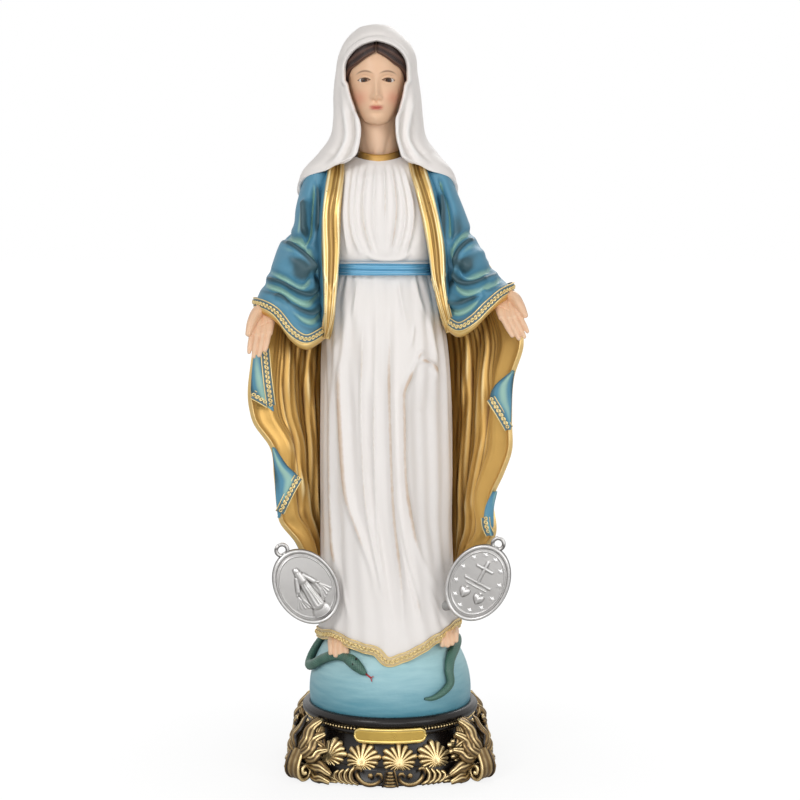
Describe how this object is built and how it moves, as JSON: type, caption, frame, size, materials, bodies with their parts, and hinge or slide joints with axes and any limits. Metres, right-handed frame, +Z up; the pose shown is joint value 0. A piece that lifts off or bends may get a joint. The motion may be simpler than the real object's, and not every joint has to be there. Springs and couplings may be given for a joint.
{
  "type": "madonna statue",
  "caption": "Standing robed figure in a veil and open mantle, hands held out, on a globe with a snake and oval medals; a free-standing devotional statue on a round shell-and-leaf base.",
  "frame": {"origin": "centre of the felt pad's underside, on the floor", "axes": "+Z up, the figure faces -Y, +X is to the right of someone looking at the face"},
  "size_m": [0.1505, 0.112, 0.4001],
  "materials": {
    "felt": "dark green felt",
    "base_black": "black-brown gloss paint on cast resin",
    "ornament_gold": "antique gold paint on cast resin",
    "plate_brass": "polished brass sheet, bare",
    "steel": "zinc plated",
    "globe_aqua": "pale aqua to teal satin paint",
    "snake_green": "dark green satin paint",
    "tongue_red": "red paint",
    "robe_white": "warm white paint with a beige wash in the folds",
    "veil_white": "white satin paint",
    "mantle_blue": "blue paint with pale green on the ridges",
    "sash_blue": "blue satin paint",
    "lining_gold": "polished gold paint",
    "hem_gold": "gold paint with filigree",
    "skin": "skin-tone satin paint",
    "hair_brown": "dark brown paint",
    "eye_glass": "painted glass",
    "medal_silver": "antique silver",
    "bracket_grey": "grey, unpainted"
  },
  "bodies": {
    "root": {"felt_pad": "felt", "plinth": "base_black", "plinth_rim": "base_black", "bead_band": "ornament_gold", "scroll_border": "ornament_gold", "shell_frieze": "ornament_gold", "leaf_foot_front_left": "ornament_gold", "leaf_foot_front_right": "ornament_gold", "leaf_foot_back_left": "ornament_gold", "leaf_foot_back_right": "ornament_gold", "name_plate": "plate_brass", "tie_rod": "steel", "washer_base": "steel", "nut_base": "steel", "washer_figure": "steel", "nut_figure": "steel", "globe": "globe_aqua", "snake_fore": "snake_green", "snake_tail": "snake_green", "snake_tongue": "tongue_red", "robe_skirt": "robe_white", "robe_bodice": "robe_white", "veil": "veil_white", "mantle_cape": "mantle_blue", "mantle_flap_left_lower": "mantle_blue", "mantle_flap_left_upper": "mantle_blue", "mantle_flap_right_lower": "mantle_blue", "mantle_flap_right_upper": "mantle_blue", "sleeve_left": "mantle_blue", "sleeve_right": "mantle_blue", "sash": "sash_blue", "mantle_lining_left": "lining_gold", "mantle_lining_right": "lining_gold", "cuff_left": "lining_gold", "cuff_right": "lining_gold", "lapel_left": "lining_gold", "lapel_right": "lining_gold", "robe_hem": "hem_gold", "neck_collar": "hem_gold", "head": "skin", "hand_left": "skin", "hand_right": "skin", "foot_left": "skin", "foot_right": "skin", "hair": "hair_brown", "eye_left": "eye_glass", "eye_right": "eye_glass", "medal_left": "medal_silver", "medal_right": "medal_silver", "medal_bracket_left": "bracket_grey", "medal_bracket_right": "bracket_grey"}
  },
  "joints": []
}
